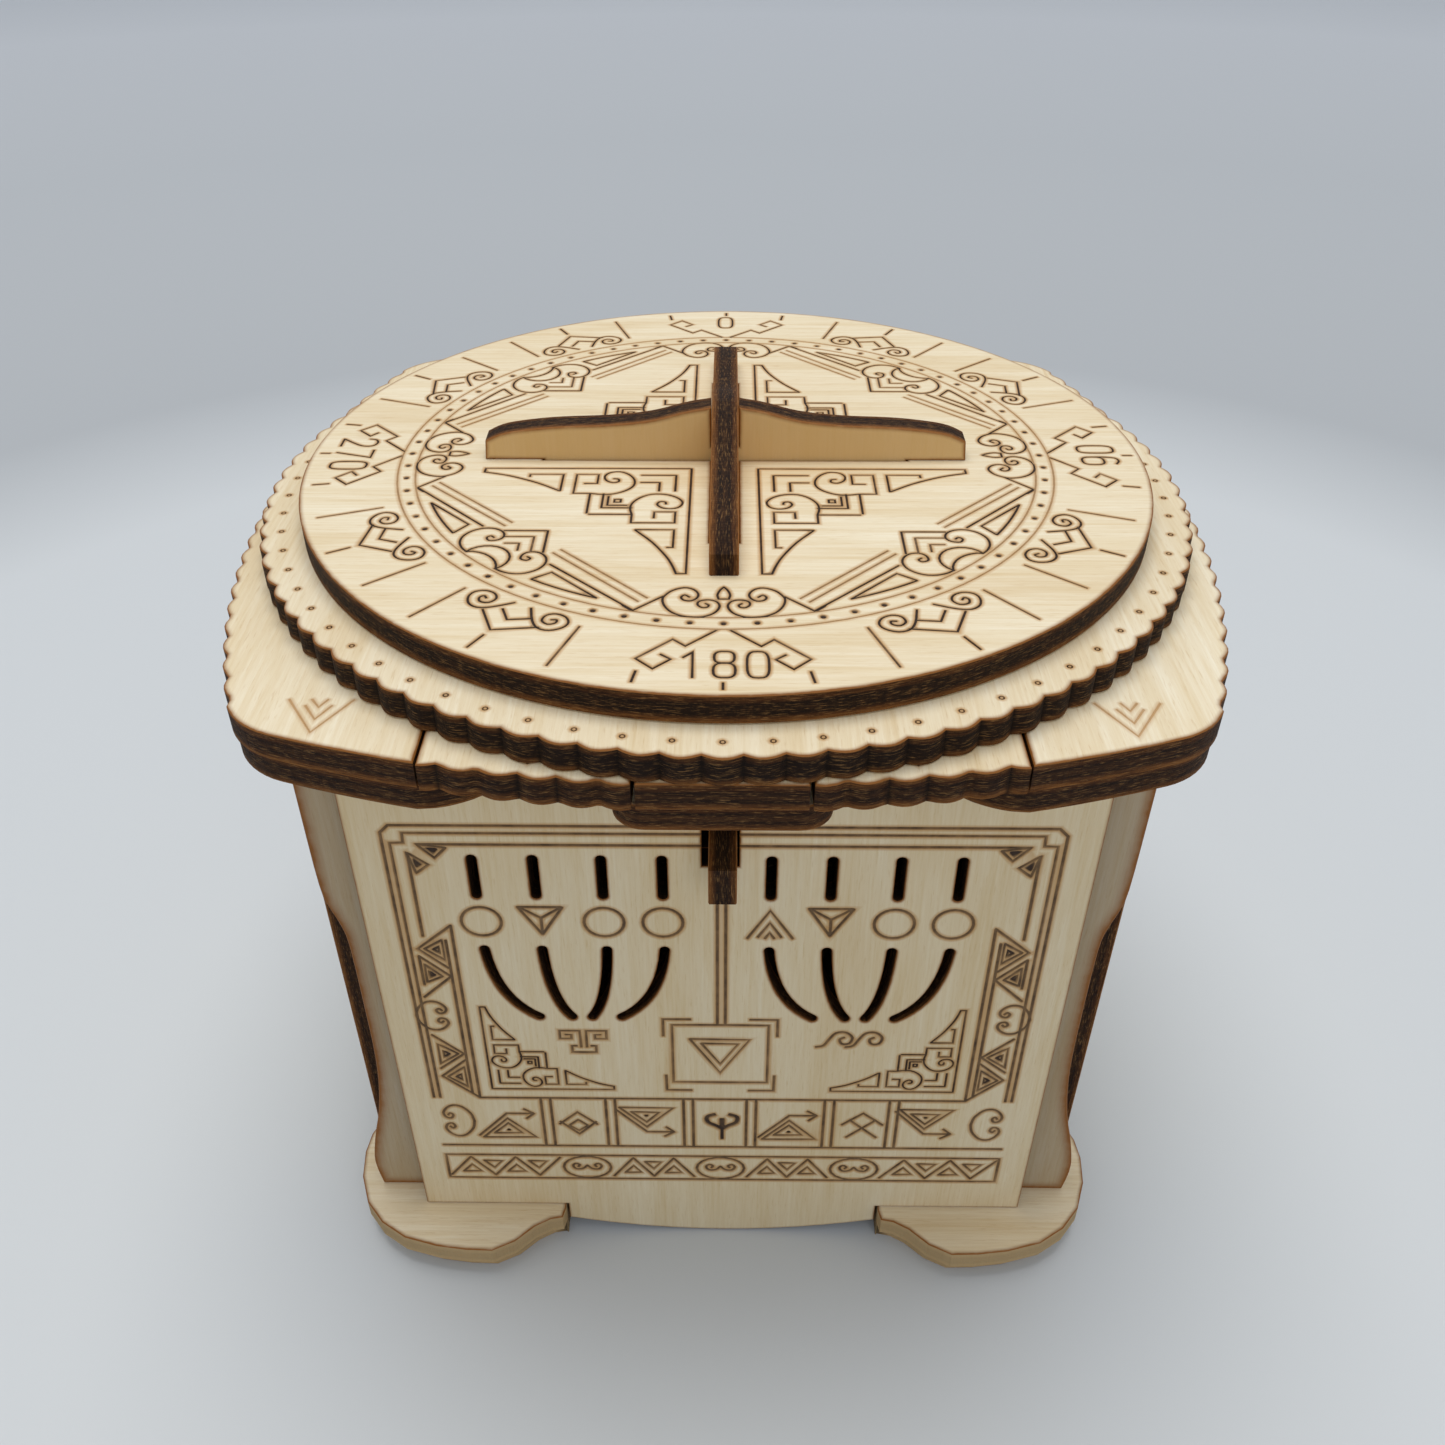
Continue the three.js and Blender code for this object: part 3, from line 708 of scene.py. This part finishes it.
def notch_field(points, loops):
    """1 at a notch of the outlines, falling to 0 at the reach of its darkening."""
    corners = notches(loops)
    gap = np.full(len(points), NOTCH_REACH)
    for group, near in in_tiles(points, corners, corners, NOTCH_REACH):
        found = seg_distance(points[group], corners[near], corners[near]).min(axis=1)
        gap[group] = np.minimum(gap[group], found)
    return np.clip(1 - gap / NOTCH_REACH, 0, 1)


def back_face(flat, rim, loops):
    """Triangles of the plain side, and which of its points lies behind each rim point."""
    number_of = {a: i for i, a in enumerate(sorted(a for a, _ in rim))}
    rim_points = flat[sorted(number_of)]
    closed = chained({number_of[a]: number_of[b] for a, b in rim})
    edges = [(a, b) for path in closed for a, b in zip(path, path[1:] + path[:1])]
    out = delaunay_2d_cdt([Vector(p) for p in rim_points], edges, [], 0, 1e-5)
    points = np.array([(v.x, v.y) for v in out[0]])
    tris = np.array([f for f in out[2] if len(f) == 3])
    tris = tris[inside(points[tris].mean(axis=1), loops)]
    origin = {ids[0]: i for i, ids in enumerate(out[3]) if ids}
    return points, tris, {a: origin[number_of[a]] for a in number_of}


def build_plate(node, strokes=(), face_side=1):
    """A plate with broken edges, heat-browned borders and engraved strokes on one face."""
    reach = TOAST.get(node, TOAST_REACH)
    axis = plate_axis(node)
    low, high = (v[axis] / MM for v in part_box(node))
    loops = oriented(plate_loops(node, axis))
    paths = list(loops)
    for inset in (CHAMFER, MIDDLE_INSET, reach):
        paths += [side_path(p, inset, True) for p in loops]
    for path, half, _ in strokes:
        paths += [around(path, offset) for offset in (half * 0.5, half, half + HALO)]
    flat, tris = triangulated(paths, loops)
    away = outline_distance(flat, loops, reach)
    depth, burn = stroke_fields(flat, strokes)
    depth = np.maximum(depth, np.clip(CHAMFER - away, 0, CHAMFER))
    toast = np.clip(1 - away / reach, 0, 1)
    top, bottom = (high, low) if face_side > 0 else (low, high)
    rim = boundary(tris)
    count = len(flat)
    if strokes:
        back_flat, back_tris, partner = back_face(flat, rim, loops)
        back_depth = np.zeros(len(back_flat))
        back_toast = np.zeros(len(back_flat))
    else:
        back_flat, back_tris = flat, tris
        back_depth = depth
        back_toast = toast
        partner = {a: a for a, _ in rim}
    sign = 1 if top > bottom else -1
    levels = np.concatenate([top - sign * depth, bottom + sign * back_depth])
    both = np.vstack([flat, back_flat])
    co = np.insert(both, axis, levels, axis=1) * MM
    faces = tris.tolist() + (back_tris[:, ::-1] + count).tolist()
    walls = [(a, count + partner[a], count + partner[b], b) for a, b in rim]
    mesh = bpy.data.meshes.new(node)
    mesh.from_pydata(co.tolist(), [], faces + walls)
    for name, values in (
        ("burn", np.concatenate([burn, np.zeros(len(back_flat))])),
        ("toast", np.concatenate([toast, back_toast])),
        ("notch", notch_field(both, loops)),
    ):
        layer = mesh.attributes.new(name, "FLOAT", "POINT")
        layer.data.foreach_set("value", values.astype(np.float32))
    index = np.zeros(len(mesh.polygons), np.int32)
    index[len(faces):] = EDGE_SLOT
    mesh.polygons.foreach_set("material_index", index)
    bm = bmesh.new()
    bm.from_mesh(mesh)
    bmesh.ops.recalc_face_normals(bm, faces=bm.faces)
    bm.to_mesh(mesh)
    bm.free()
    mesh.shade_smooth()
    mesh.set_sharp_from_angle(angle=math.radians(SHARP_ANGLE))
    return mesh, axis, low


# ---------------------------------------------------------------- materials
def colour(red, green, blue):
    """Linear colour from display values of 0 to 255."""
    def linear(value):
        value /= 255
        return value / 12.92 if value <= 0.04045 else ((value + 0.055) / 1.055) ** 2.4

    return (linear(red), linear(green), linear(blue), 1)


class Nodes:
    """Short calls for building one material's node tree."""

    def __init__(self, name):
        self.material = bpy.data.materials.new(name)
        self.material.use_nodes = True
        self.tree = self.material.node_tree
        self.shader = self.tree.nodes["Principled BSDF"]

    def add(self, kind, **values):
        node = self.tree.nodes.new(kind)
        for key, value in values.items():
            setattr(node, key, value)
        return node

    def link(self, source, target):
        self.tree.links.new(source, target)

    def math(self, operation, first, second=None, clamp=False):
        node = self.add("ShaderNodeMath", operation=operation, use_clamp=clamp)
        for socket, value in zip(node.inputs, (first, second)):
            if isinstance(value, (int, float)):
                socket.default_value = value
            elif value is not None:
                self.link(value, socket)
        return node.outputs[0]

    def ramp(self, value, *stops):
        node = self.add("ShaderNodeValToRGB")
        elements = node.color_ramp.elements
        while len(elements) < len(stops):
            elements.new(0.5)
        for element, (position, shade) in zip(elements, stops):
            element.position = position
            element.color = shade
        self.link(value, node.inputs["Fac"])
        return node.outputs["Color"]

    def mix(self, amount, first, second, blend="MIX"):
        node = self.add("ShaderNodeMix", data_type="RGBA", blend_type=blend)
        for socket, value in ((node.inputs[0], amount), (node.inputs[6], first), (node.inputs[7], second)):
            if isinstance(value, (int, float, tuple)):
                socket.default_value = value
            else:
                self.link(value, socket)
        return node.outputs[2]

    def noise(self, vector, scale, detail=3.0, roughness=0.5, distortion=0.0):
        node = self.add("ShaderNodeTexNoise")
        node.inputs["Scale"].default_value = scale
        node.inputs["Detail"].default_value = detail
        node.inputs["Roughness"].default_value = roughness
        node.inputs["Distortion"].default_value = distortion
        self.link(vector, node.inputs["Vector"])
        return node.outputs["Fac"]

    def place(self, scale, shift=(0, 0, 0), turn=(0, 0, 0)):
        """Object coordinates in millimetres, shifted, turned and scaled for each axis."""
        source = self.add("ShaderNodeTexCoord").outputs["Object"]
        first = self.add("ShaderNodeMapping")
        first.inputs["Rotation"].default_value = turn
        first.inputs["Scale"].default_value = (1 / MM,) * 3
        first.inputs["Location"].default_value = shift
        self.link(source, first.inputs["Vector"])
        second = self.add("ShaderNodeMapping")
        second.inputs["Scale"].default_value = scale
        self.link(first.outputs["Vector"], second.inputs["Vector"])
        return second.outputs["Vector"]

    def value(self, name):
        node = self.add("ShaderNodeAttribute", attribute_name=name)
        return node.outputs["Fac"]

    def bump(self, height, strength, distance):
        node = self.add("ShaderNodeBump")
        node.inputs["Strength"].default_value = strength
        node.inputs["Distance"].default_value = distance
        self.link(height, node.inputs["Height"])
        self.link(node.outputs["Normal"], self.shader.inputs["Normal"])


PALE = colour(237, 229, 207)
CREAM = colour(231, 219, 192)
HONEY = colour(220, 202, 168)
TAN = colour(205, 166, 102)
WHITE = colour(255, 255, 255)
USUAL_STAIN = (0.05, TAN)       # amount and colour
USUAL_CHAR = 0.45
HARDLY_BURNT = 0.2              # below this char, a cut edge keeps most of the wood's own colour


def grain_scale(axis, along, across):
    scale = [across] * 3
    scale[axis] = along
    return tuple(scale)


def face_material(name, grain, seed, tint=USUAL_STAIN):
    """Birch face veneer; grain is the axis along which the fibres run."""
    n = Nodes(name)
    shift = (17.3 * seed, 31.7 * seed, 11.9 * seed)
    broad = n.noise(n.place(grain_scale(grain, 0.012, 0.07), shift), 1.0, 3, 0.55, 0.6)
    figure = n.noise(n.place(grain_scale(grain, 0.02, 0.32), shift), 1.0, 4, 0.6, 0.9)
    fibre = n.noise(n.place(grain_scale(grain, 0.09, 2.6), shift), 1.0, 4, 0.65)
    pores = n.noise(n.place(grain_scale(grain, 0.5, 7.0), shift), 1.0, 2, 0.5)
    base = n.ramp(broad, (0.32, PALE), (0.55, CREAM), (0.78, HONEY))
    lines = n.ramp(
        figure, (0.42, WHITE), (0.62, colour(240, 230, 210)), (0.75, colour(226, 208, 178)),
    )
    wood = n.mix(0.45, base, lines, "MULTIPLY")
    fine = n.ramp(fibre, (0.3, WHITE), (0.72, colour(232, 218, 194)))
    wood = n.mix(0.6, wood, fine, "MULTIPLY")
    fleck = n.ramp(pores, (0.60, WHITE), (0.74, colour(214, 188, 148)))
    wood = n.mix(0.35, wood, fleck, "MULTIPLY")
    # Tint mixed over the wood: a stain on most plates, and on the frames and the front panel partly painted
    # shade as well
    amount, stain_and_shade = tint
    wood = n.mix(amount, wood, stain_and_shade)
    smoke = n.noise(n.place((0.5, 0.5, 0.5), shift), 1.0, 3, 0.6)
    heat = n.math("MULTIPLY", n.value("toast"), n.math("ADD", n.math("MULTIPLY", smoke, 0.6), 0.85))
    wood = n.mix(n.math("POWER", n.math("MINIMUM", heat, 1.0), 1.8), wood, colour(134, 82, 26))
    burn = n.math("MULTIPLY", n.value("burn"), n.math("ADD", n.math("MULTIPLY", smoke, 0.4), 0.8))
    tan = n.math("MULTIPLY", burn, 2.0, clamp=True)
    dark = n.math("MULTIPLY", n.math("SUBTRACT", burn, 0.5), 2.4, clamp=True)
    wood = n.mix(n.math("MULTIPLY", tan, 0.72), wood, colour(172, 120, 50))
    wood = n.mix(dark, wood, colour(46, 27, 12))
    n.link(wood, n.shader.inputs["Base Color"])
    n.link(n.math("ADD", n.math("MULTIPLY", fibre, 0.25), 0.5), n.shader.inputs["Roughness"])
    n.shader.inputs["Specular IOR Level"].default_value = 0.35
    n.bump(n.math("ADD", fibre, n.math("MULTIPLY", pores, 0.6)), 0.35, 0.08 * MM)
    return n.material


def edge_material(name, axis, low, seed, char):
    """Burnt cut edge of three-ply; char 1 is nearly black and 0 is hardly browned."""
    n = Nodes(name)
    shift = (9.1 * seed, 5.3 * seed, 3.7 * seed)
    source = n.add("ShaderNodeTexCoord").outputs["Object"]
    split = n.add("ShaderNodeSeparateXYZ")
    n.link(source, split.inputs[0])
    level = n.math("DIVIDE", n.math("SUBTRACT", split.outputs[axis], low * MM), SHEET * MM)
    streak = n.noise(n.place(grain_scale(axis, 6.0, 0.30), shift), 1.0, 5, 0.7)
    thread = n.noise(n.place(grain_scale(axis, 11.0, 0.9), shift), 1.0, 3, 0.6)
    kerf = n.noise(n.place(grain_scale(axis, 0.35, 3.4), shift), 1.0, 3, 0.6)
    patch = n.noise(n.place((0.25, 0.25, 0.25), shift), 1.0, 2, 0.5)
    wobble = n.math("ADD", level, n.math("MULTIPLY", n.math("SUBTRACT", streak, 0.5), 0.12))
    layers = n.ramp(
        wobble,
        (0.0, colour(158, 108, 58)), (0.16, colour(116, 76, 40)), (0.32, colour(58, 34, 17)),
        (0.50, colour(96, 64, 36)), (0.66, colour(52, 30, 15)), (0.80, colour(90, 56, 29)),
        (0.94, colour(116, 76, 38)), (1.0, colour(182, 130, 70)),
    )
    fibres = n.ramp(
        streak, (0.38, colour(112, 90, 72)), (0.5, colour(206, 190, 168)), (0.64, colour(255, 248, 232)),
    )
    wood = n.mix(0.9, layers, fibres, "MULTIPLY")
    light = (0.3, 0.3, 0.3, 1)
    core = n.ramp(wobble, (0.16, light), (0.32, WHITE), (0.66, WHITE), (0.80, light))
    cut = n.math("ADD", n.math("MULTIPLY", kerf, 0.7), n.math("MULTIPLY", patch, 0.6))
    soot = n.math("MULTIPLY", n.math("MULTIPLY", cut, 1.8 * char), core)
    if char < HARDLY_BURNT:
        wood = n.mix(0.72, wood, colour(206, 178, 132))
    wood = n.mix(n.math("MINIMUM", soot, 0.92), wood, colour(26, 14, 7))
    bright = n.ramp(thread, (0.55, colour(0, 0, 0)), (0.68, WHITE))
    wood = n.mix(n.math("MULTIPLY", bright, 0.36), wood, colour(184, 138, 84))
    # Darker near the notches between scallops
    wood = n.mix(n.math("MULTIPLY", n.value("notch"), 0.8), wood, colour(20, 11, 6))
    n.link(wood, n.shader.inputs["Base Color"])
    n.shader.inputs["Roughness"].default_value = 0.75
    n.shader.inputs["Specular IOR Level"].default_value = 0.15
    n.bump(n.math("ADD", streak, n.math("MULTIPLY", kerf, 1.4)), 0.6, 0.18 * MM)
    return n.material


def steel_material():
    n = Nodes("pin_steel")
    rub = n.noise(n.place((0.4, 6.0, 6.0)), 1.0, 3)
    steel = n.ramp(rub, (0.3, colour(168, 170, 174)), (0.7, colour(204, 206, 210)))
    n.link(steel, n.shader.inputs["Base Color"])
    n.shader.inputs["Metallic"].default_value = 1.0
    n.link(n.math("ADD", n.math("MULTIPLY", rub, 0.2), 0.25), n.shader.inputs["Roughness"])
    n.bump(rub, 0.2, 0.03 * MM)
    return n.material


# ---------------------------------------------------------------- pieces
X, Y, Z = 0, 1, 2
PIN = "hinge_pin"
TURNED = ("stop_", "hub")       # the round wooden pieces, which keep their CAD shapes
FIN_STAIN = (0.85, TAN)
# Frames: a smoky brown stain, darkened further as painted shade of their recessed faces under the lid
FRAME_STAIN_AND_SHADE = (0.66, colour(132, 104, 66))
STAIN_AND_SHADE = {
    "fin_across": FIN_STAIN, "fin_along": FIN_STAIN,
    "front_frame": FRAME_STAIN_AND_SHADE, "back_frame": FRAME_STAIN_AND_SHADE,
    # The front panel's darker, browner tint is partly its own tone and partly painted shade of its front face
    # under the lid
    "front_panel": (0.34, colour(188, 160, 106)), "foot_upper": (0.14, TAN),
}
TOAST = {"front_frame": 1.9, "back_frame": 1.9, "front_panel": 0.45}
GRAIN = {
    "scalloped_ring": Y, "lid_plate": Y, "slider_left": Y, "slider_right": Y,
    "catch_block": Y, "catch_tab": X,
}
CHAR = {
    "dial_disc": 0.75, "scalloped_ring": 1.3, "fin_across": 0.6, "fin_along": 0.6, "bolt": 0.6,
    "foot_upper": 0.1, "foot_lower": 0.15, "catch_tab": 0.3,
}


def body_of(node):
    return frame["nodes"][node]["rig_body"]


def add_plate(node, seed, strokes=(), face_side=1):
    mesh, axis, low = build_plate(node, strokes, face_side)
    grain = GRAIN.get(node, Z if axis != Z else X)
    stain_and_shade, char = STAIN_AND_SHADE.get(node, USUAL_STAIN), CHAR.get(node, USUAL_CHAR)
    mesh.materials.append(face_material(f"{node}_face", grain, seed, stain_and_shade))
    mesh.materials.append(edge_material(f"{node}_edge", axis, low, seed, char))
    piece = bpy.data.objects.new(f"{node}_wood", mesh)
    bpy.context.scene.collection.objects.link(piece)
    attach(piece, body_of(node))
    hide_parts(node)


def engraving(node):
    """The strokes on a plate, and the side of it that they are on."""
    drawings = {
        "dial_disc": (dial_strokes, 1),
        "scalloped_ring": (ring_strokes, 1),
        "lid_plate": (lid_strokes, 1),
        "slider_left": (lambda: slider_strokes(-1), 1),
        "slider_right": (lambda: slider_strokes(1), 1),
        "front_panel": (front_strokes, -1),
        "back_panel": (back_strokes, 1),
        "left_panel": (side_strokes, -1),
        "right_panel": (side_strokes, 1),
    }
    draw, side = drawings.get(node, (list, 1))
    return draw(), side


def add_wood():
    for seed, node in enumerate(sorted(frame["nodes"])):
        if node.startswith((PIN, *TURNED)):
            continue
        strokes, side = engraving(node)
        add_plate(node, seed + 1, strokes, side)


def add_metal_and_turned():
    steel = steel_material()
    for seed, node in enumerate(sorted(frame["nodes"])):
        materials = frame["nodes"][node].data.materials
        if node.startswith(PIN):
            materials.clear()
            materials.append(steel)
        elif node.startswith(TURNED):
            materials.clear()
            materials.append(face_material(f"{node}_face", Z, seed))


# ---------------------------------------------------------------- stage, light and camera
FLOOR_RADIUS = 2.2
CAMERA_TURN = (36.51, -0.76, -0.17)     # pitch, yaw and roll in degrees, fitted to the photo
CAMERA_PLACE = (0.34, -140.30, 66.27)   # from the middle of the dial's top, in millimetres
LENS = 32.46
SHIFT = (0.0067, -0.0066)


def add_floor():
    """A round floor whose rings are closer together in the middle."""
    bm = bmesh.new()
    rings, sectors, crowding = 24, 48, 1.6
    grid = []
    for r in range(1, rings + 1):
        radius = FLOOR_RADIUS * (r / rings) ** crowding
        turns = [2 * math.pi * s / sectors for s in range(sectors)]
        grid.append([bm.verts.new((radius * math.cos(a), radius * math.sin(a), 0)) for a in turns])
    middle = bm.verts.new((0, 0, 0))
    for s in range(sectors):
        after = (s + 1) % sectors
        bm.faces.new((middle, grid[0][s], grid[0][after]))
        for inner, outer in zip(grid, grid[1:]):
            bm.faces.new((inner[s], outer[s], outer[after], inner[after]))
    mesh = bpy.data.meshes.new("floor")
    bm.to_mesh(mesh)
    bm.free()
    n = Nodes("floor_paper")
    source = n.add("ShaderNodeTexCoord").outputs["Object"]
    length = n.add("ShaderNodeVectorMath", operation="LENGTH")
    n.link(source, length.inputs[0])
    tone = n.ramp(
        length.outputs["Value"],
        (0.225, colour(204, 208, 211)), (0.30, colour(176, 180, 184)),
        (0.60, colour(192, 196, 200)), (1.0, colour(220, 223, 227)),
    )
    n.link(tone, n.shader.inputs["Base Color"])
    n.shader.inputs["Roughness"].default_value = 0.6
    n.bump(n.noise(source, 900, 3), 0.05, 0.1 * MM)
    mesh.materials.append(n.material)
    floor = bpy.data.objects.new("floor", mesh)
    bpy.context.scene.collection.objects.link(floor)


def add_area(name, where, target, size, power, tint):
    data = bpy.data.lights.new(name, "AREA")
    data.shape = "DISK"
    data.size = size
    data.energy = power
    data.color = tint
    lamp = bpy.data.objects.new(name, data)
    bpy.context.scene.collection.objects.link(lamp)
    lamp.location = where
    lamp.rotation_euler = (Vector(target) - Vector(where)).to_track_quat("-Z", "Y").to_euler()


def add_light():
    scene = bpy.context.scene
    world = bpy.data.worlds.new("soft_room")
    world.use_nodes = True
    background = world.node_tree.nodes["Background"]
    background.inputs["Color"].default_value = (0.86, 0.92, 1.0, 1)
    background.inputs["Strength"].default_value = 0.52
    scene.world = world
    middle = (0, 0, 0.06)
    add_area("key", (-0.04, 0.12, 1.0), middle, 0.7, 6.0, (1.0, 0.97, 0.925))
    add_area("fill", (0.25, -0.90, 0.5), middle, 0.7, 1.5, (1.0, 0.98, 0.95))
    scene.view_settings.view_transform = "Standard"


def add_camera():
    """A phone-like view from in front and above, at hand distance."""
    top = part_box("dial_disc")[1].z / MM
    pitch, yaw, roll = (math.radians(v) for v in CAMERA_TURN)
    flat = math.cos(pitch)
    ahead = Vector((math.sin(yaw) * flat, math.cos(yaw) * flat, -math.sin(pitch)))
    level = Vector((math.cos(yaw), -math.sin(yaw), 0))
    upright = level.cross(ahead)
    right = level * math.cos(roll) + upright * math.sin(roll)
    up = upright * math.cos(roll) - level * math.sin(roll)
    data = bpy.data.cameras.new("camera")
    data.sensor_width = 36
    data.lens = LENS
    data.shift_x, data.shift_y = SHIFT
    data.clip_start = 0.005
    data.clip_end = 20
    camera = bpy.data.objects.new("camera", data)
    bpy.context.scene.collection.objects.link(camera)
    place = Matrix((right, up, -ahead)).transposed().to_4x4()
    x, y, z = CAMERA_PLACE
    place.translation = Vector((x, y, top + z)) * MM
    camera.matrix_world = place
    bpy.context.scene.camera = camera


add_camera()
add_light()
add_floor()
add_wood()
add_metal_and_turned()
